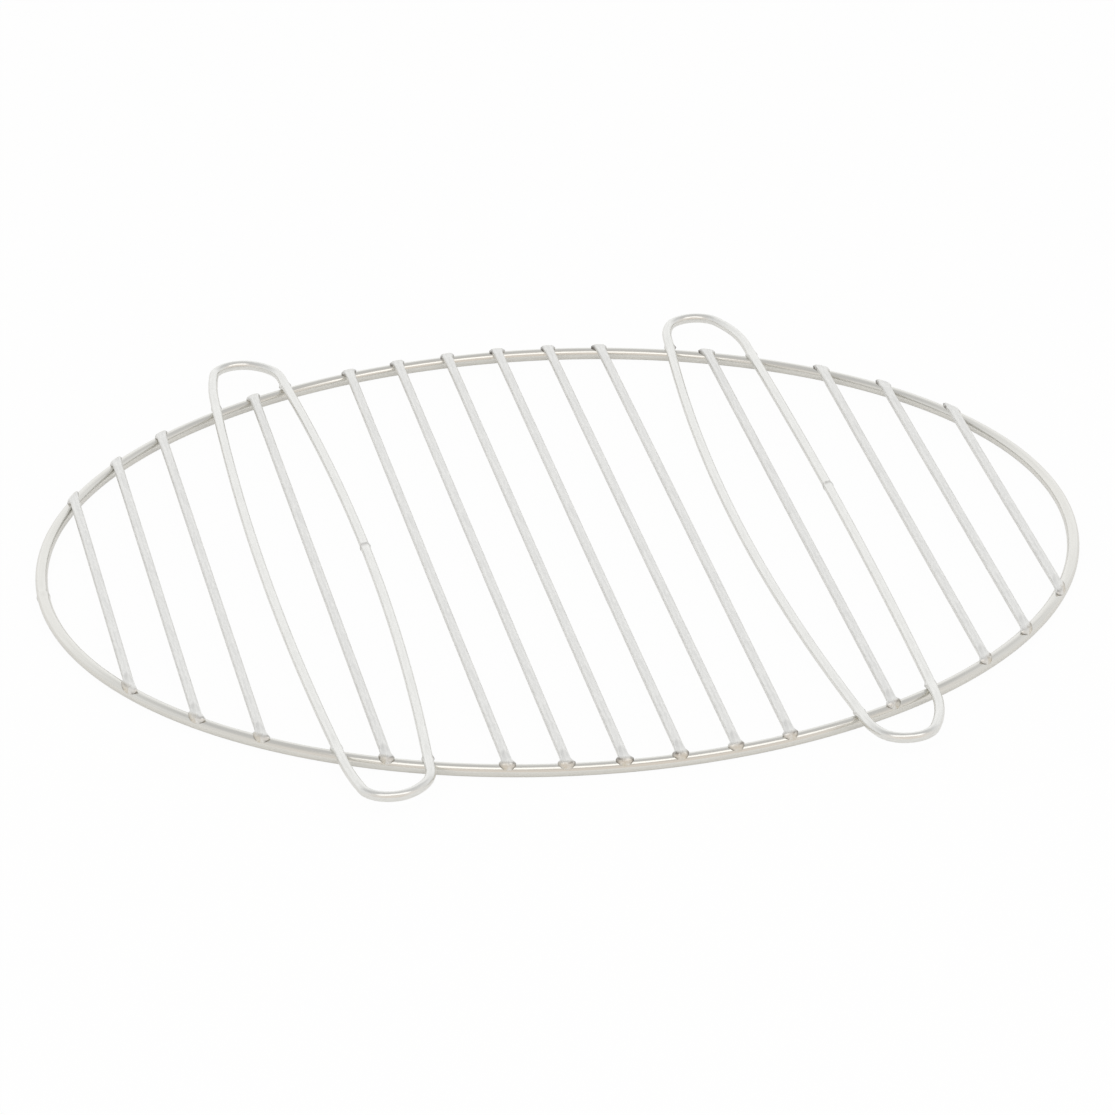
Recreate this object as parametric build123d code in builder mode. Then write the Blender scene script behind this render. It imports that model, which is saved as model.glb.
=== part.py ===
from build123d import *
import os
from math import atan2, degrees, sqrt

# Round grate of welded wire for a fire pit. A rim ring lies underneath. Straight bars and two long
# closed loops lie across it, and the four ends of the loops stand out past the rim as handles.
# The ground is z = 0, under the rim. The bars run along Y.

# Wire diameters
rim_wire = 5.0
bar_wire = 4.0
loop_wire = 4.0

# Rim, measured across the middle line of its wire
rim_diameter = 420.0

# Lines of wire across the middle of the grate, all at one pitch, which leaves this gap between the
# outermost lines and the rim, wire middle to wire middle. The legs of a loop take the places on
# either side of the loop's own line, and every other line is a bar.
line_count = 18
end_gap = 23.0
loop_line = 5

# Bars are trimmed along the rim, this far outside its middle line
bar_overhang = 0.9

# Resistance welds: how far the wires are driven into the rim, how deep and how long the electrode
# flattens them, and the bead of metal squeezed out along the rim
bar_set_down = 1.3
bar_press = 1.1
loop_set_down = 0.5
loop_press = 0.4
press_run = 8.0
bead_length = 7.0
bead_width = 5.2
bead_rise = 1.7

# Butt welds that close the rim and the loops: upset metal around the wire. The rim's is dressed back
# underneath to this height above the ground, so that the grate lies flat.
butt_upset = 0.3
butt_dressing = 0.1
rim_butt_angle = 178.8

# Handle loops, measured on the middle line of the wire. At the rim a loop's middle stands this far
# outside the loop's own line, and its neck is this wide. The reach is from the rim out to the tip.
# A leg runs straight on both sides of its weld.
handle_offset = 1.4
handle_neck = 32.4
handle_reach = 37.0
tip_radius = 11.5
weld_run = 10.0

# Each loop as it was bent by hand: how far its legs at the middle of the grate and its tips stand
# out from their nominal lines, how far it was laid off centre along the bars, and its butt weld.
left_bow = 0.0
left_lean = 1.0
left_slip = -1.1
left_butt_place = 12.8
right_bow = -2.4
right_lean = -1.5
right_slip = 1.1
right_butt_place = 24.4

os.makedirs("parts", exist_ok=True)

# Heights and places that follow from the sizes above
rim_radius = rim_diameter / 2
rim_z = rim_wire / 2
bar_z = rim_wire + bar_wire / 2 - bar_set_down
loop_z = rim_wire + loop_wire / 2 - loop_set_down
first_line = end_gap - rim_radius
line_pitch = -2 * first_line / (line_count - 1)


def line_x(number):
    """Place of a line of wire, counted from the left."""
    return first_line + line_pitch * (number - 1)


def rim_y(x):
    """Distance from the X axis to the rim's middle line at x."""
    return sqrt(rim_radius**2 - x**2)


def press_radius(depth):
    """Crown radius of an electrode that leaves a flat of press_run at the given depth."""
    return (press_run**2 + depth**2) / (2 * depth)


# Rim: the upset bead of its butt weld, and the ring of round wire that the bead closes
with BuildPart() as rim:
    with PolarLocations(rim_radius, 1, start_angle=rim_butt_angle):
        with Locations((0, 0, rim_z)):
            Sphere(rim_wire / 2 + butt_upset)
    split(bisect_by=Plane.XY.offset(butt_dressing), keep=Keep.TOP)
    with BuildSketch(Plane.XZ):
        with Locations((rim_radius, rim_z)):
            Circle(rim_wire / 2)
    revolve(axis=Axis.Z)
rim.part.label = "rim_ring"
export_step(rim.part, "parts/rim_ring.step")

# Bead of a resistance weld: a spheroid stretched along the rim, here at angle 0 on the rim
with BuildPart() as weld_bead:
    bead_z = rim_z + bead_rise
    with BuildSketch(Plane.XY.offset(bead_z)):
        with Locations((rim_radius, 0)):
            Ellipse(bead_width / 2, bead_length / 2)
            Rectangle(bead_width, bead_length, align=(Align.MIN, Align.CENTER), mode=Mode.INTERSECT)
    revolve(axis=Axis((rim_radius, 0, bead_z), (0, 1, 0)))


def rim_angle(x, y):
    """Angle on the rim of a point, in degrees."""
    return degrees(atan2(y, x))


# Bars: round wire, flattened at each end, with a bead on each side and saddled onto the rim
legs = {loop_line - 1, loop_line + 1, line_count - loop_line, line_count + 2 - loop_line}
bar_lines = [number for number in range(1, line_count + 1) if number not in legs]
bar_press_radius = press_radius(bar_press)
bar_pressed_z = bar_z + bar_wire / 2 - bar_press
for bar_number, line in enumerate(bar_lines, start=1):
    x = line_x(line)
    y = rim_y(x)
    with BuildPart() as bar:
        with BuildSketch(Plane.XZ):
            with Locations((x, bar_z)):
                Circle(bar_wire / 2)
        extrude(amount=rim_radius + rim_wire, both=True)
        with Locations((0, 0, bar_z)):
            Cylinder(rim_radius + bar_overhang, 2 * bar_wire, mode=Mode.INTERSECT)
        for end in (1, -1):
            add(weld_bead.part, rotation=(0, 0, rim_angle(x, end * y)))
        with Locations((x, y, bar_pressed_z + bar_press_radius), (x, -y, bar_pressed_z + bar_press_radius)):
            Cylinder(bar_press_radius, 2 * bead_length, rotation=(0, 90, 0), mode=Mode.SUBTRACT)
        add(rim.part, mode=Mode.SUBTRACT)
    name = f"crossbar_{bar_number:02d}"
    bar.part.label = name
    export_step(bar.part, f"parts/{name}.step")


def bow_end(middle, weld):
    """Point where the arc of a leg that leaves its middle along Y runs straight on to its weld."""
    leg = weld - middle
    bend = (leg.dot(leg) - weld_run**2) / (2 * (leg.Y + weld_run))
    corner = middle + Vector(0, bend, 0)
    return weld - (weld - corner).normalized() * weld_run

def tip_touch(start, direction, tip):
    """Point where an arc that leaves start along direction runs smoothly into the arc of the tip."""
    centre = tip - Vector(0, tip_radius, 0)
    inward = Vector(direction.Y, -direction.X, 0)
    if inward.dot(centre - start) < 0:
        inward = -inward
    back = start - centre
    shoulder_radius = (tip_radius**2 - back.dot(back)) / (2 * (back.dot(inward) + tip_radius))
    shoulder_centre = start + inward * shoulder_radius
    return shoulder_centre + (centre - shoulder_centre).normalized() * abs(shoulder_radius)


# Handle loops: bowed legs, straight runs through the welds, soft shoulders and a tight round tip
loop_press_radius = press_radius(loop_press)
loop_pressed_z = loop_z + loop_wire / 2 - loop_press
handle_x = abs(line_x(loop_line)) + handle_offset
tip_y = rim_y(handle_x) + handle_reach
loops = (
    ("handle_loop_left", -1, left_bow, left_lean, left_slip, "inner", left_butt_place),
    ("handle_loop_right", 1, right_bow, right_lean, right_slip, "outer", right_butt_place),
)
for name, side, bow, lean, slip, butt_leg, butt_place in loops:
    middle_x = abs(line_x(loop_line)) + bow
    tip = Vector(side * (handle_x + lean), slip + tip_y, loop_z)
    leg_arcs = {}
    weld_places = []
    with BuildLine() as half_loop:
        for leg_name, out in (("inner", -1), ("outer", 1)):
            leg_x = side * (middle_x + out * line_pitch)
            weld_x = side * (handle_x + out * handle_neck / 2)
            leg_middle = Vector(leg_x, slip, loop_z)
            leg_weld = Vector(weld_x, slip + rim_y(weld_x), loop_z)
            leg = TangentArc(leg_middle, bow_end(leg_middle, leg_weld), tangent=Vector(0, 1, 0))
            run = Line(leg @ 1, leg_weld + (leg % 1) * weld_run)
            touch = tip_touch(run @ 1, run % 1, tip)
            shoulder = TangentArc(run @ 1, touch, tangent=run % 1)
            TangentArc(touch, tip, tangent=shoulder % 1)
            leg_arcs[leg_name] = leg
            weld_places.append(leg_weld.X)
    with BuildPart() as loop:
        with BuildSketch(Plane(origin=leg_middle, z_dir=(0, 1, 0))):
            Circle(loop_wire / 2)
        sweep(path=half_loop.wire())
        mirror(about=Plane(origin=(0, slip, 0), z_dir=(0, 1, 0)))
        butt_arc = leg_arcs[butt_leg]
        with Locations(butt_arc @ (butt_place / butt_arc.length)):
            Sphere(loop_wire / 2 + butt_upset)
        for weld_x in weld_places:
            for end in (1, -1):
                y = end * rim_y(weld_x)
                add(weld_bead.part, rotation=(0, 0, rim_angle(weld_x, y)))
                with Locations((weld_x, y, loop_pressed_z + loop_press_radius)):
                    Cylinder(loop_press_radius, 2 * loop_wire, rotation=(0, 90, 0), mode=Mode.SUBTRACT)
        add(rim.part, mode=Mode.SUBTRACT)
    loop.part.label = name
    export_step(loop.part, f"parts/{name}.step")
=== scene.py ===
from math import cos, pi, radians, sin

import bpy
import numpy as np
from mathutils import Matrix, Vector


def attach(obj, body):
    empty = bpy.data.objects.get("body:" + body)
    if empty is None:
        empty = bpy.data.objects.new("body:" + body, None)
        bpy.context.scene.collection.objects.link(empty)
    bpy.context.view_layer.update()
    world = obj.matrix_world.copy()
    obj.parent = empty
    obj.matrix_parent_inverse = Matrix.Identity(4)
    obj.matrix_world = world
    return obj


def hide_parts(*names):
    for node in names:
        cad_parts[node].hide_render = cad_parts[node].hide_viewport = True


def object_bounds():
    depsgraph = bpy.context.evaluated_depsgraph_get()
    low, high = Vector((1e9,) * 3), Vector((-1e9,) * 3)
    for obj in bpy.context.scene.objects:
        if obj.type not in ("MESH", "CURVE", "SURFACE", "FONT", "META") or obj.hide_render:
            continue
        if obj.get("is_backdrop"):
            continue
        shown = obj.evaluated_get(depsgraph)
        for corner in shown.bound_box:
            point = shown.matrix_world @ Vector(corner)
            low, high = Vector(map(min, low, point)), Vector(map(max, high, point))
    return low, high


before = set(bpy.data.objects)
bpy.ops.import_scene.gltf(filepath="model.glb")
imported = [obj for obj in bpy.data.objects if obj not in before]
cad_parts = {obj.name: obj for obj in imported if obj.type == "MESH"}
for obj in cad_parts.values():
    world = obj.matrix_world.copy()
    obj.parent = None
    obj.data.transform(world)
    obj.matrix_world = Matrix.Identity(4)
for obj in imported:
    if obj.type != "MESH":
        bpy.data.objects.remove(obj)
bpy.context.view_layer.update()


# RIM RING
# One length of 5 mm stainless wire, rolled to a circle of 420 mm and closed by a butt weld on the
# left. It lies under all the other wires, and each of them is resistance-welded onto it.
rim_wire = 0.005
rim_radius = 0.210
rim_height = rim_wire / 2
rim_butt_angle = radians(178.8)
rim_butt_upset = 0.0003
rim_butt_run = 0.0016
rim_step = 0.002
rim_facets = 40

# Where the other wires cross it, seen along the bars. Eighteen lines of wire are evenly spaced, and
# fourteen of them are bars. The others are the legs of two loops, which draw together to a neck here.
line_pitch = 0.022
first_line = -0.187
bar_lines = (0, 1, 2, 4, 6, 7, 8, 9, 10, 11, 13, 15, 16, 17)
bar_places = [line_pitch * line + first_line for line in bar_lines]
handle_place = 0.1004
handle_neck = 0.0324
loop_leg_places = [side * (handle_place + out * handle_neck / 2) for side in (-1, 1) for out in (-1, 1)]

# How far the heat of a weld has tinted the steel around it.
weld_reach = 0.006


def rim_y(x, outside=0.0):
    """Distance from the X axis to the rim's middle line at x, or to a line this far outside it."""
    return np.sqrt((rim_radius + outside) ** 2 - x**2)


def put(tree, kind, inputs={}, **settings):
    """Adds a node with its settings, and sets or links its inputs."""
    node = tree.nodes.new(kind)
    for name, value in settings.items():
        setattr(node, name, value)
    for socket, value in inputs.items():
        if isinstance(value, bpy.types.NodeSocket):
            tree.links.new(value, node.inputs[socket])
        else:
            node.inputs[socket].default_value = value
    return node


def linear(colour):
    """An sRGB hex colour as the linear values that a shader takes."""
    parts = [int(colour[i:i + 2], 16) / 255 for i in (1, 3, 5)]
    return [*(c / 12.92 if c <= 0.04045 else ((c + 0.055) / 1.055) ** 2.4 for c in parts), 1.0]


# Round wire drawn along a line of points. Each point of its skin keeps its place in the wire as the
# attribute "wire": across, up and along, in metres, so that grain can follow every bend.
drawn_wire = bpy.data.node_groups.new("drawn wire", "GeometryNodeTree")
drawn_wire.interface.new_socket("Line", in_out="INPUT", socket_type="NodeSocketGeometry")
drawn_wire.interface.new_socket("Diameter", in_out="INPUT", socket_type="NodeSocketFloat")
drawn_wire.interface.new_socket("Facets", in_out="INPUT", socket_type="NodeSocketInt")
drawn_wire.interface.new_socket("Steel", in_out="INPUT", socket_type="NodeSocketMaterial")
drawn_wire.interface.new_socket("Wire", in_out="OUTPUT", socket_type="NodeSocketGeometry")
given = put(drawn_wire, "NodeGroupInput").outputs
line = put(drawn_wire, "GeometryNodeMeshToCurve", {"Mesh": given["Line"]}).outputs["Curve"]
line = put(drawn_wire, "GeometryNodeSetCurveNormal", {"Curve": line}, mode="Z_UP").outputs["Curve"]
length = put(drawn_wire, "GeometryNodeSplineParameter").outputs["Length"]
line = put(
    drawn_wire, "GeometryNodeStoreNamedAttribute", {"Geometry": line, "Name": "along", "Value": length},
    data_type="FLOAT", domain="POINT",
).outputs["Geometry"]
radius = put(drawn_wire, "ShaderNodeMath", {0: given["Diameter"], 1: 0.5}, operation="MULTIPLY").outputs[0]
section = put(
    drawn_wire, "GeometryNodeCurvePrimitiveCircle", {"Resolution": given["Facets"], "Radius": radius},
).outputs["Curve"]
spot = put(drawn_wire, "GeometryNodeInputPosition").outputs["Position"]
section = put(
    drawn_wire, "GeometryNodeStoreNamedAttribute", {"Geometry": section, "Name": "wire", "Value": spot},
    data_type="FLOAT_VECTOR", domain="POINT",
).outputs["Geometry"]
skin = put(
    drawn_wire, "GeometryNodeCurveToMesh", {"Curve": line, "Profile Curve": section, "Fill Caps": True},
).outputs["Mesh"]
across = put(drawn_wire, "GeometryNodeInputNamedAttribute", {"Name": "wire"}, data_type="FLOAT_VECTOR")
along = put(drawn_wire, "GeometryNodeInputNamedAttribute", {"Name": "along"}, data_type="FLOAT")
along = put(drawn_wire, "ShaderNodeCombineXYZ", {"Z": along.outputs["Attribute"]}).outputs["Vector"]
inside = put(
    drawn_wire, "ShaderNodeVectorMath", {0: across.outputs["Attribute"], 1: along}, operation="ADD",
).outputs["Vector"]
skin = put(
    drawn_wire, "GeometryNodeStoreNamedAttribute", {"Geometry": skin, "Name": "wire", "Value": inside},
    data_type="FLOAT_VECTOR", domain="POINT",
).outputs["Geometry"]
skin = put(drawn_wire, "GeometryNodeSetShadeSmooth", {"Geometry": skin}).outputs["Geometry"]
skin = put(drawn_wire, "GeometryNodeRealizeInstances", {"Geometry": skin}).outputs["Geometry"]
skin = put(drawn_wire, "GeometryNodeSetMaterial", {"Geometry": skin, "Material": given["Steel"]})
put(drawn_wire, "NodeGroupOutput", {"Wire": skin.outputs["Geometry"]})


def wire_along(name, points, closed, diameter, facets, steel):
    """A piece of round wire whose middle line runs along the points."""
    count = len(points)
    path = bpy.data.meshes.new(name + "_line")
    path.from_pydata(points, [(i, (i + 1) % count) for i in range(count if closed else count - 1)], [])
    holder = bpy.data.objects.new(name + "_line", path)
    bpy.context.scene.collection.objects.link(holder)
    drawing = holder.modifiers.new("drawn wire", "NODES")
    drawing.node_group = drawn_wire
    for socket, value in (("Diameter", diameter), ("Facets", facets), ("Steel", steel)):
        drawing[drawn_wire.interface.items_tree[socket].identifier] = value
    mesh = bpy.data.meshes.new_from_object(holder.evaluated_get(bpy.context.evaluated_depsgraph_get()))
    holder.modifiers.remove(drawing)
    bpy.data.objects.remove(holder)
    bpy.data.meshes.remove(path)
    mesh.name = name
    piece = bpy.data.objects.new(name, mesh)
    bpy.context.scene.collection.objects.link(piece)
    return piece


def skin_of(piece):
    """The points of a piece's skin, one row each."""
    points = np.empty(3 * len(piece.data.vertices))
    piece.data.vertices.foreach_get("co", points)
    return points.reshape(-1, 3)


def reshape(piece, points, **marks):
    """Sets the points of a piece's skin, and what each of them is marked with."""
    piece.data.vertices.foreach_set("co", np.asarray(points, dtype=np.float32).ravel())
    for name, values in marks.items():
        piece.data.attributes.new(name, "FLOAT", "POINT").data.foreach_set("value", values)
    piece.data.update()


# Stainless steel, cold-drawn and rolled to a ring: semi-bright, with fine lines along the wire that
# soften what it mirrors, and straw and rose heat tint beside each weld.
rim_steel = bpy.data.materials.new("stainless steel, rolled and semi-bright")
rim_steel.use_nodes = True
tree = rim_steel.node_tree
tree.nodes.clear()
place = put(tree, "ShaderNodeAttribute", attribute_name="wire").outputs["Vector"]
# Draw lines 0.5 mm apart and 20 mm long, which is about as fine as the render can show.
lines = put(tree, "ShaderNodeMapping", {"Vector": place, "Scale": (1 / 0.0005, 1 / 0.0005, 1 / 0.020)})
lines = put(tree, "ShaderNodeTexNoise", {"Vector": lines.outputs[0], "Scale": 1.0, "Detail": 3.0})
lines = lines.outputs["Fac"]
# Patches of uneven polish, 4 mm across.
patches = put(tree, "ShaderNodeMapping", {"Vector": place, "Scale": (1 / 0.004, 1 / 0.004, 1 / 0.012)})
patches = put(tree, "ShaderNodeTexNoise", {"Vector": patches.outputs[0], "Scale": 1.0, "Detail": 2.0})
patches = patches.outputs["Fac"]
heat = put(tree, "ShaderNodeAttribute", attribute_name="heat").outputs["Fac"]
tinted = put(tree, "ShaderNodeMath", {0: heat, 1: patches}, operation="MULTIPLY").outputs[0]
bare = put(tree, "ShaderNodeMix", {0: lines, 6: linear("#DAD9D4"), 7: linear("#EAE9E4")}, data_type="RGBA")
steel_colour = put(
    tree, "ShaderNodeMix", {0: tinted, 6: bare.outputs[2], 7: linear("#C2AC93")}, data_type="RGBA",
)
dullness = put(tree, "ShaderNodeMapRange", {"Value": patches, "To Min": 0.12, "To Max": 0.22})
relief = put(tree, "ShaderNodeBump", {"Height": lines, "Strength": 0.15, "Distance": 0.0001})
metal = put(
    tree, "ShaderNodeBsdfPrincipled",
    {
        "Base Color": steel_colour.outputs[2], "Metallic": 1.0, "Roughness": dullness.outputs["Result"],
        "Normal": relief.outputs["Normal"],
    },
)
put(tree, "ShaderNodeOutputMaterial", {"Surface": metal.outputs["BSDF"]})

turns = np.arange(0, 2 * pi, rim_step / rim_radius) + rim_butt_angle
rim_line = [(rim_radius * cos(a), rim_radius * sin(a), rim_height) for a in turns]
rim = wire_along("rim", rim_line, True, rim_wire, rim_facets, rim_steel)
points = skin_of(rim)
angle = np.arctan2(points[:, 1], points[:, 0])
middle = np.stack(
    [rim_radius * np.cos(angle), rim_radius * np.sin(angle), np.full(len(angle), rim_height)], axis=1,
)
from_butt = rim_radius * np.abs((angle - rim_butt_angle + pi) % (2 * pi) - pi)
swell = 1 + 2 * rim_butt_upset / rim_wire * np.exp(-(from_butt / rim_butt_run) ** 2)
points = middle + (points - middle) * swell[:, None]
points[:, 2] = np.maximum(points[:, 2], 0.0)
heat = np.exp(-(from_butt / weld_reach) ** 2)
for x in bar_places + loop_leg_places:
    for end in (1, -1):
        from_weld = np.hypot(middle[:, 0] - x, middle[:, 1] - end * rim_y(x))
        heat = np.maximum(heat, np.exp(-(from_weld / weld_reach) ** 2))
reshape(rim, points, heat=heat)
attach(rim, "root")
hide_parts("rim_ring")


# BARS
# Fourteen straight lengths of 4 mm stainless wire, laid across the rim and resistance-welded to it
# at both ends. The electrode flattens each end, and hot metal is squeezed out along the rim.
bar_wire = 0.004
bar_height = 0.0057
bar_facets = 28
bar_overhang = 0.0009
bar_pressed_top = 0.0066
electrode_crown = 0.0296
head_run = 0.0055
wing_run = 0.0022
wing_spread = 0.0012
wing_sizes = (0.6, 1.3)
flat_spread = 0.0002
melt_run = 0.0025

# Marks of the weld: how far back from the cut its face, its broken edge and the dark of its wing corners and
# the painted shade at their foot reach, and how far from the middle of the grate an end is fully clean on
# one side, or only lightly burnt.
cut_face_run = 0.0008
broken_edge_run = 0.001
scale_run = 0.002
clean_place = 0.12
light_burn_place = 0.15

# Stainless steel, drawn and left matte: pale grey, with short fine lines along the wire, a speckled skin,
# straw and rose heat tint towards the welds, brown scale on the burnt ends, and the same dark brown painted
# as shade in the crevices where the weld heads meet the rim.
bar_steel = bpy.data.materials.new("stainless steel, drawn and matte")
bar_steel.use_nodes = True
tree = bar_steel.node_tree
tree.nodes.clear()
place = put(tree, "ShaderNodeAttribute", attribute_name="wire").outputs["Vector"]
# Draw lines 0.7 mm apart and 14 mm long, coarser than the real ones so that they show.
lines = put(tree, "ShaderNodeMapping", {"Vector": place, "Scale": (1 / 0.0007, 1 / 0.0007, 1 / 0.014)})
lines = put(tree, "ShaderNodeTexNoise", {"Vector": lines.outputs[0], "Scale": 1.0, "Detail": 3.0})
lines = lines.outputs["Fac"]
# Pitted skin with a grain of 0.6 mm, drawn out along the wire.
pits = put(tree, "ShaderNodeMapping", {"Vector": place, "Scale": (1 / 0.0006, 1 / 0.0006, 1 / 0.0030)})
pits = put(tree, "ShaderNodeTexNoise", {"Vector": pits.outputs[0], "Scale": 1.0, "Detail": 2.0})
pits = pits.outputs["Fac"]
# Mottling of the weld pools, 1.2 mm across.
blotches = put(tree, "ShaderNodeTexCoord").outputs["Object"]
blotches = put(tree, "ShaderNodeTexNoise", {"Vector": blotches, "Scale": 1 / 0.0012, "Detail": 2.0})
blotches = blotches.outputs["Fac"]
heat = put(tree, "ShaderNodeAttribute", attribute_name="heat").outputs["Fac"]
scale = put(tree, "ShaderNodeAttribute", attribute_name="scale").outputs["Fac"]
mottle = put(tree, "ShaderNodeMath", {0: lines, 1: pits}, operation="ADD").outputs[0]
mottle = put(tree, "ShaderNodeMapRange", {"Value": mottle, "From Min": 0.7, "From Max": 1.3})
mottle = mottle.outputs["Result"]
bare = put(
    tree, "ShaderNodeMix", {0: mottle, 6: linear("#DCDCDA"), 7: linear("#F5F5F3")},
    data_type="RGBA", name="bare",
)
melt = put(tree, "ShaderNodeAttribute", attribute_name="melt").outputs["Fac"]
tint = put(tree, "ShaderNodeMix", {0: heat, 6: bare.outputs[2], 7: linear("#EEE5DF")}, data_type="RGBA")
melted = put(tree, "ShaderNodeMath", {0: melt, 1: blotches}, operation="MULTIPLY").outputs[0]
pool = put(tree, "ShaderNodeMix", {0: melted, 6: tint.outputs[2], 7: linear("#CFC3AA")}, data_type="RGBA")
blotched = put(tree, "ShaderNodeMapRange", {"Value": blotches, "From Min": 0.28, "From Max": 0.5})
blotched = blotched.outputs["Result"]
# The dark brown mark is real scale, and also painted shade in the crevices where the heads meet the rim.
scaled = put(tree, "ShaderNodeMath", {0: scale, 1: blotched}, operation="MULTIPLY").outputs[0]
burnt_and_shaded = put(tree, "ShaderNodeMix", {0: scaled, 6: pool.outputs[2], 7: linear("#4A3F34")}, data_type="RGBA")
dull = put(tree, "ShaderNodeMapRange", {"Value": mottle, "To Min": 0.34, "To Max": 0.48}, name="dull")
dullness = put(tree, "ShaderNodeMapRange", {"Value": heat, "To Min": dull.outputs["Result"], "To Max": 0.17})
relief = put(
    tree, "ShaderNodeBump", {"Height": mottle, "Strength": 0.25, "Distance": 0.0001}, name="relief",
)
metal = put(
    tree, "ShaderNodeBsdfPrincipled",
    {
        "Base Color": burnt_and_shaded.outputs[2], "Metallic": 1.0, "Roughness": dullness.outputs["Result"],
        "Normal": relief.outputs["Normal"],
    },
)
put(tree, "ShaderNodeOutputMaterial", {"Surface": metal.outputs["BSDF"]})

# Rings of the wire near an end, counted from the cut: six that close the cut with a broken edge, then
# close ones along the flattened head, and wide ones along the shaft.
cut_rings = np.arange(6) * 0.00001
cut_sizes = [0.02, 0.40, 0.66, 0.83, 0.94, 1.0]
cut_insets = [0.0, 0.0, 0.00004, 0.00015, 0.0004, 0.0008]
head_rings = np.arange(0.0011, 0.0145, 0.0005)
shaft_step = 0.010

# The pool of melted metal under a cut end, from its lower edge on the rim up to the bar's flat: how
# far it stands out past the cut, and its height.
melt_levels = [-1.0, -0.5, 0.0, 0.4, 1.0]
melt_outs = [0.00168, 0.00145, 0.00105, 0.00055, 0.0]
melt_heights = [0.0029, 0.0043, 0.0055, 0.0062, 0.0066]


def softly_under(height, limit, blend=0.00012):
    """Heights pressed down under a limit, with a soft edge."""
    over = np.clip((height - limit) / blend, -40, 40)
    return height - blend * np.log1p(np.exp(over))


chance = np.random.default_rng(7)
for number, x in enumerate(bar_places, start=1):
    half = rim_y(x, bar_overhang)
    rings = np.concatenate([cut_rings, head_rings])
    shaft_count = int((half - rings[-1]) * 2 / shaft_step)
    shaft = np.linspace(-half + rings[-1], half - rings[-1], shaft_count + 1)[1:-1]
    run = np.concatenate([-half + rings, shaft, (half - rings)[::-1]])
    bar_line = [(x, y, bar_height) for y in run]
    bar = wire_along(f"bar_{number:02d}", bar_line, False, bar_wire, bar_facets, bar_steel)
    points = skin_of(bar)
    heat = np.zeros(len(points))
    melt = np.zeros(len(points))
    scale = np.zeros(len(points))
    for end in (1, -1):
        from_cut = half - end * points[:, 1]
        near = from_cut < head_rings[-1]
        from_cut = from_cut[near]
        part = np.clip(from_cut / cut_rings[-1], 0, 1)
        size = np.interp(part, np.linspace(0, 1, len(cut_sizes)), cut_sizes)
        inset = np.interp(part, np.linspace(0, 1, len(cut_sizes)), cut_insets)
        inset = inset * (from_cut < broken_edge_run)
        across = (points[near, 0] - x) / (bar_wire / 2) * size
        up = (points[near, 2] - bar_height) / (bar_wire / 2) * size
        y_weld = rim_y(x)
        from_weld = from_cut - (half - y_weld)
        head = 0.5 + 0.5 * np.cos(pi * np.clip(from_weld / head_run, 0, 1))
        wing = 0.5 + 0.5 * np.cos(pi * np.clip(from_weld / wing_run, 0, 1))
        low = np.clip((0.55 - up) / 0.6, 0, 1)
        wings = np.where(across > 0, chance.uniform(*wing_sizes), chance.uniform(*wing_sizes))
        spread = across * (wing_spread * wings * low * wing + flat_spread * head)
        limit = bar_pressed_top - bar_height + from_weld**2 / (2 * electrode_crown)
        height = softly_under(up * bar_wire / 2, limit)
        sideways = across * bar_wire / 2
        slant = rim_y(x + sideways, bar_overhang) - half
        fade = np.clip(1 - from_cut / head_rings[-1], 0, 1)
        pool = np.clip(1 - from_cut / melt_run, 0, 1) ** 2 * (1 - 0.9 * across**4)
        out = pool * np.interp(up, melt_levels, melt_outs)
        beside = (out * y_weld - spread * x) / rim_radius
        pool_height = np.interp(up, melt_levels, melt_heights)
        points[near, 0] = x + sideways + (spread * y_weld + out * x) / rim_radius
        points[near, 1] = end * (half - from_cut - inset + slant * fade + beside)
        points[near, 2] = (bar_height + height) * (1 - pool) + pool_height * pool
        heat[near] = np.exp(-(from_weld / weld_reach) ** 2)
        # Brown scale along the upper edge of the cut, mostly at one side of it.
        face = 1 - np.clip(from_cut / cut_face_run, 0, 1)
        burn = chance.uniform(0.7, 1.0) * np.clip(0.55 + chance.choice((-0.8, 0.8, 0.8)) * across, 0, 1)
        burn = burn * (1 - 0.6 * np.clip(abs(x) / light_burn_place, 0, 1))
        edge = face * np.exp(-(((up - 0.3) / 0.25) ** 2)) * burn
        # Mottled melt on the face, dark brown at the lower wing corners, and painted shade at the foot on
        # the rim.
        clean = np.where(end * across * x > 0, np.clip(abs(x) / clean_place, 0, 0.8), 0)
        melt[near] = face * np.clip(0.7 - 0.5 * up, 0, 1) * (1 - clean)
        corners = np.where(end * across < 0, chance.uniform(0.7, 1.0), chance.uniform(0.2, 0.7))
        corners = corners * (1 - clean)
        hooks = head * low * np.clip((np.abs(across) - 0.6) / 0.3, 0, 1) * corners
        foot_shade = head * np.clip((-0.2 - up) / 0.3, 0, 1) * np.clip((np.abs(across) - 0.4) / 0.3, 0, 1)
        scale[near] = np.maximum(edge, np.maximum(hooks, 0.9 * foot_shade) * (np.abs(from_weld) < scale_run))
    reshape(bar, points, heat=heat, melt=melt, scale=scale)
    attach(bar, "root")
    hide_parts(f"crossbar_{number:02d}")


# HANDLE LOOPS
# Two long closed loops of 4 mm stainless wire, bent by hand, each closed by a butt weld in one leg.
# Their legs lie among the bars and are welded to the rim, and their round tips are the handles.
loop_wire = 0.004
loop_height = 0.0065
loop_facets = 28
loop_pressed_top = 0.0081
loop_crown = 0.0802
loop_weld_zone = 0.015
loop_wing_spread = 0.0008
loop_wing_sizes = (0.5, 1.3)
loop_head_run = 0.0024
loop_step = 0.001
loop_line_place = 0.099
handle_reach = 0.037
tip_radius = 0.0115
weld_run = 0.010
loop_butt_upset = 0.0003
loop_butt_run = 0.0009
loop_butt_zone = 0.006


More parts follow.
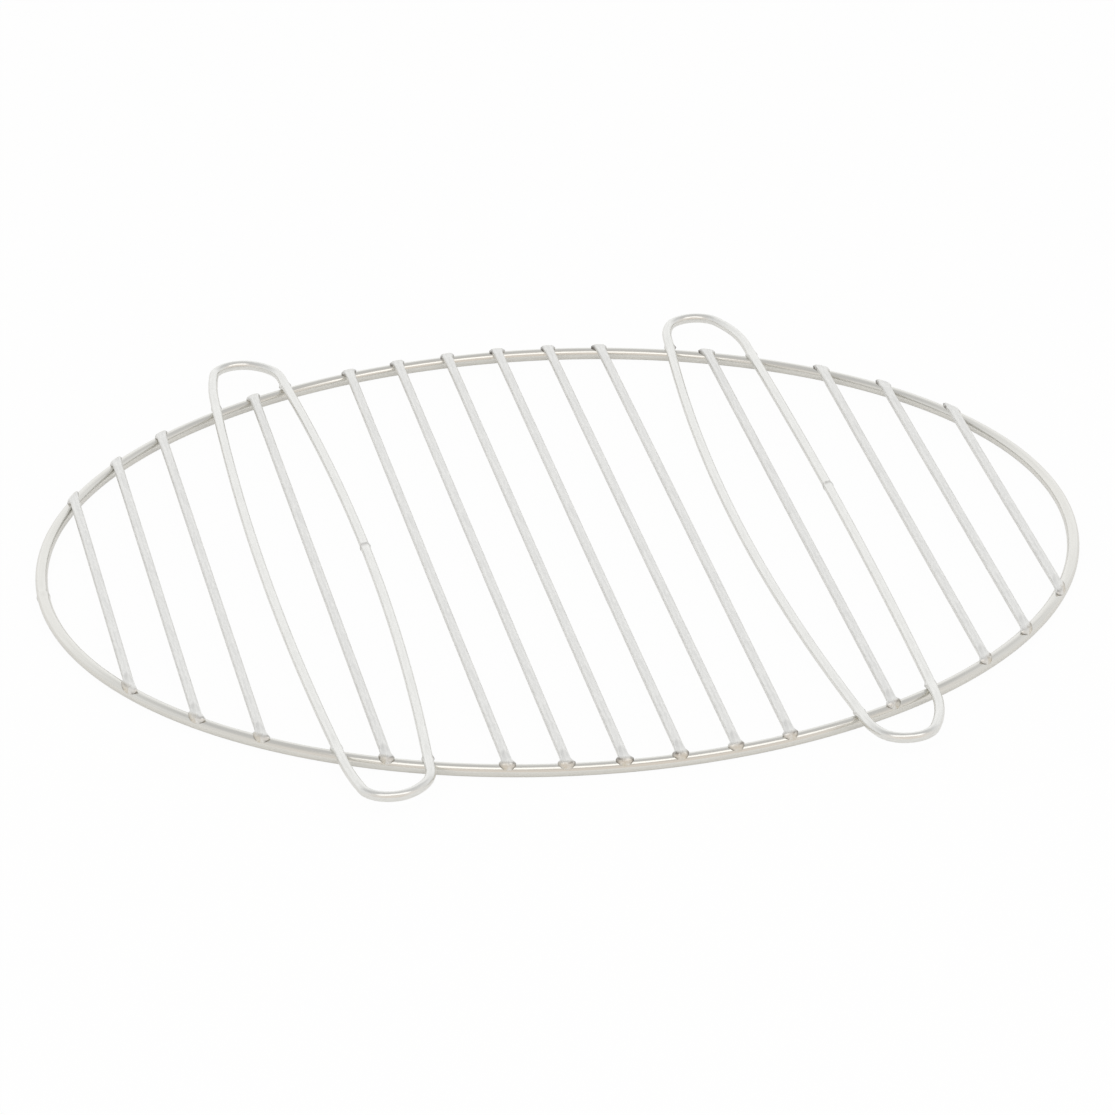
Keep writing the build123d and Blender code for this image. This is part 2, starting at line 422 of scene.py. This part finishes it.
# The same wire as the bars, but bending has burnished it: a little darker and less matte, so that the
# round tips show a streak of light.
loop_steel = bar_steel.copy()
loop_steel.name = "stainless steel, drawn, bent and burnished"
finish = loop_steel.node_tree.nodes
finish["bare"].inputs[6].default_value = linear("#E2E2DF")
finish["bare"].inputs[7].default_value = linear("#EEEEEB")
finish["relief"].inputs["Strength"].default_value = 0.02
finish["dull"].inputs["To Min"].default_value = 0.22
finish["dull"].inputs["To Max"].default_value = 0.28


def arc_points(start, heading, end, step):
    """Points along the arc that leaves start along a heading and runs to end, without its first."""
    chord = end - start
    turn = heading.angle_signed(chord)
    if abs(turn) < 1e-6:
        count = max(2, round(chord.length / step))
        return [start + chord * (i + 1) / count for i in range(count)]
    radius = chord.length / (2 * sin(turn))
    centre = start + Vector((heading.y, -heading.x)) * radius
    count = max(2, round(abs(2 * turn * radius) / step))
    spoke = start - centre
    return [centre + Matrix.Rotation(-2 * turn * (i + 1) / count, 2) @ spoke for i in range(count)]


def leg_points(middle, weld, tip):
    """Points of half a leg: its bow, a straight run through the weld, a shoulder and the tip's arc."""
    away = weld - middle
    bend = (away.dot(away) - weld_run**2) / (2 * (away.y + weld_run))
    heading = (weld - middle - Vector((0, bend))).normalized()
    bow_end = weld - heading * weld_run
    run_end = weld + heading * weld_run
    centre = tip - Vector((0, tip_radius))
    inward = Vector((heading.y, -heading.x))
    if inward.dot(centre - run_end) < 0:
        inward = -inward
    back = run_end - centre
    shoulder_radius = (tip_radius**2 - back.dot(back)) / (2 * (back.dot(inward) + tip_radius))
    shoulder_centre = run_end + inward * shoulder_radius
    touch = shoulder_centre + (centre - shoulder_centre).normalized() * abs(shoulder_radius)
    spoke = (touch - centre).normalized()
    turned = Vector((-spoke.y, spoke.x))
    if turned.dot(tip - touch) < 0:
        turned = -turned
    line = [middle]
    line += arc_points(middle, Vector((0, 1)), bow_end, loop_step)
    line += arc_points(bow_end, heading, run_end, loop_step)
    line += arc_points(run_end, heading, touch, loop_step)
    line += arc_points(touch, turned, tip, loop_step)
    return line, heading


# Each loop as it was bent by hand: its side, how far its legs and its tips stand out from their lines,
# how far it lies off centre along the bars, and the leg and the place of its butt weld.
loops = (
    ("left", -1, 0.0, 0.001, -0.0011, -1, 0.0128),
    ("right", 1, -0.0024, -0.0015, 0.0011, 1, 0.0244),
)
for name, side, bow, lean, slip, butt_leg, butt_place in loops:
    tip = Vector((side * (handle_place + lean), rim_y(handle_place) + handle_reach))
    quarters = {}
    welds = []
    for out in (-1, 1):
        leg_middle = Vector((side * (loop_line_place + bow + out * line_pitch), 0))
        weld_x = side * (handle_place + out * handle_neck / 2)
        weld = Vector((weld_x, rim_y(weld_x)))
        quarters[out], heading = leg_points(leg_middle, weld, tip)
        for end in (1, -1):
            crossing = Vector((weld.x - end * slip * heading.x / heading.y, end * weld.y))
            welds.append((crossing, Vector((end * heading.x, heading.y))))
    half_loop = quarters[-1] + quarters[1][-2::-1]
    other_half = [Vector((p.x, -p.y)) for p in half_loop[-2:0:-1]]
    loop_line = [(p.x, p.y + slip, loop_height) for p in half_loop + other_half]
    loop = wire_along(f"loop_{name}", loop_line, True, loop_wire, loop_facets, loop_steel)
    points = skin_of(loop)
    heat = np.zeros(len(points))
    scale = np.zeros(len(points))
    for weld, heading in welds:
        away = points[:, :2] - np.array(weld)
        near = np.hypot(away[:, 0], away[:, 1]) < loop_weld_zone
        away = away[near]
        from_weld = away @ np.array(heading)
        across = away @ np.array((heading.y, -heading.x)) / (loop_wire / 2)
        up = (points[near, 2] - loop_height) / (loop_wire / 2)
        head = 0.5 + 0.5 * np.cos(pi * np.clip(from_weld / loop_head_run, -1, 1))
        low = np.clip((0.45 - up) / 0.6, 0, 1)
        wings = np.where(across > 0, chance.uniform(*loop_wing_sizes), chance.uniform(*loop_wing_sizes))
        spread = across * head * low * loop_wing_spread * wings
        limit = loop_pressed_top - loop_height + from_weld**2 / (2 * loop_crown)
        tangent = np.array((abs(weld.y), -np.sign(weld.y) * weld.x)) / rim_radius
        points[near, :2] += spread[:, None] * tangent * (1 if heading.y > 0 else -1)
        points[near, 2] = loop_height + softly_under(up * loop_wire / 2, limit)
        heat[near] = np.maximum(heat[near], np.exp(-(from_weld / weld_reach) ** 2))
        # Painted shade in the crevices at the lower corners where the leg sits on the rim, more on one side,
        # in the colour of scale.
        corners = np.clip((np.abs(across) - 0.5) / 0.3, 0, 1) * np.clip(0.55 + 0.45 * across, 0, 1)
        scale[near] = np.maximum(scale[near], head * np.clip((0.7 - up) / 0.5, 0, 1) * corners)
    butt_x = side * (loop_line_place + bow + butt_leg * line_pitch)
    from_butt = np.hypot(points[:, 0] - butt_x, points[:, 1] - slip - butt_place)
    swell = np.exp(-((points[:, 1] - slip - butt_place) / loop_butt_run) ** 2) * (from_butt < loop_butt_zone)
    points[:, 0] += (points[:, 0] - butt_x) * swell * 2 * loop_butt_upset / loop_wire
    points[:, 2] += (points[:, 2] - loop_height) * swell * 2 * loop_butt_upset / loop_wire
    heat = np.maximum(heat, np.exp(-(from_butt / weld_reach) ** 2))
    scale = np.maximum(scale, 0.5 * swell)
    reshape(loop, points, heat=heat, scale=scale)
    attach(loop, "root")
    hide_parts(f"handle_loop_{name}")


# STAGE AND LIGHT
# A plain white studio: a pale floor under the grate, white walls all round it, and one wide soft light
# overhead and in front, which gives the rim its bright streak.
floor_half = 6.0
floor_mesh = bpy.data.meshes.new("floor")
floor_corners = [(x * floor_half, y * floor_half, 0) for x, y in ((-1, -1), (1, -1), (1, 1), (-1, 1))]
floor_mesh.from_pydata(floor_corners, [], [(0, 1, 2, 3)])
floor = bpy.data.objects.new("floor", floor_mesh)
bpy.context.scene.collection.objects.link(floor)
floor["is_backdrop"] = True
paper = bpy.data.materials.new("white studio paper, matte")
paper.use_nodes = True
tree = paper.node_tree
tree.nodes.clear()
seen = put(tree, "ShaderNodeLightPath").outputs
clear = put(
    tree, "ShaderNodeMath", {0: seen["Is Camera Ray"], 1: seen["Is Glossy Ray"]}, operation="MAXIMUM",
).outputs[0]
clear = put(
    tree, "ShaderNodeMath", {0: clear, 1: seen["Is Transmission Ray"]}, operation="MAXIMUM",
).outputs[0]
share = put(tree, "ShaderNodeMapRange", {"Value": seen["Is Camera Ray"], "To Min": 0.3, "To Max": 0.96})
share = put(tree, "ShaderNodeMath", {0: clear, 1: share.outputs["Result"]}, operation="MULTIPLY").outputs[0]
matte = put(tree, "ShaderNodeBsdfDiffuse", {"Color": linear("#FAFAF9")}).outputs["BSDF"]
white = put(tree, "ShaderNodeEmission", {"Color": linear("#FFFFFF"), "Strength": 1.0}).outputs["Emission"]
surface = put(tree, "ShaderNodeMixShader", {0: share, 1: matte, 2: white}).outputs["Shader"]
put(tree, "ShaderNodeOutputMaterial", {"Surface": surface})
floor_mesh.materials.append(paper)

studio = bpy.data.worlds.new("white studio")
bpy.context.scene.world = studio
studio.use_nodes = True
tree = studio.node_tree
tree.nodes.clear()
direction = put(tree, "ShaderNodeTexCoord").outputs["Generated"]
ways = put(tree, "ShaderNodeSeparateXYZ", {"Vector": direction}).outputs
# The walls are brighter than the ceiling, brightest at the back, and a little warm in front.
walls = put(
    tree, "ShaderNodeMapRange",
    {"Value": ways["Z"], "From Min": 0.45, "From Max": 0.75, "To Min": 0.86, "To Max": 0.66},
).outputs["Result"]
back = put(
    tree, "ShaderNodeMapRange",
    {"Value": ways["Y"], "From Min": 0.5, "From Max": 0.8, "To Min": 0.0, "To Max": 0.17},
).outputs["Result"]
walls = put(tree, "ShaderNodeMath", {0: walls, 1: back}, operation="ADD").outputs[0]
front = put(tree, "ShaderNodeMapRange", {"Value": ways["Y"], "From Min": 0.2, "From Max": -0.9})
warmth = put(
    tree, "ShaderNodeMix",
    {0: front.outputs["Result"], 6: linear("#FFFFFF"), 7: linear("#FFF6ED")}, data_type="RGBA",
).outputs[2]
seen = put(tree, "ShaderNodeLightPath").outputs["Is Camera Ray"]
level = put(tree, "ShaderNodeMix", {0: seen, 2: walls, 3: 1.0}).outputs[0]
colour = put(tree, "ShaderNodeMix", {0: seen, 6: warmth, 7: linear("#FFFFFF")}, data_type="RGBA").outputs[2]
room = put(tree, "ShaderNodeBackground", {"Color": colour, "Strength": level}).outputs["Background"]
put(tree, "ShaderNodeOutputWorld", {"Surface": room})

softbox = bpy.data.lights.new("softbox", "AREA")
softbox.shape = "RECTANGLE"
softbox.size = 2.6
softbox.size_y = 0.8
softbox.energy = 5.0
softbox_place = bpy.data.objects.new("softbox", softbox)
softbox_place.location = (0.0, -0.8, 1.4)
softbox_place.rotation_euler = (radians(30), 0, 0)
bpy.context.scene.collection.objects.link(softbox_place)

# The camera looks down on the grate from the front and a little from the left, with a long lens.
camera = bpy.data.cameras.new("camera")
camera.sensor_width = 36.0
camera.lens = 233.183
camera.clip_end = 50.0
camera_place = bpy.data.objects.new("camera", camera)
camera_place.matrix_world = (
    Matrix.Translation((-0.431125, -2.661661, 1.185796))
    @ Matrix.Rotation(-radians(9.20329), 4, "Z")
    @ Matrix.Rotation(radians(90 - 23.76565), 4, "X")
    @ Matrix.Rotation(-radians(2.23), 4, "Z")
)
bpy.context.scene.collection.objects.link(camera_place)
bpy.context.scene.camera = camera_place
bpy.context.scene.view_settings.view_transform = "Standard"

low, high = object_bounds()
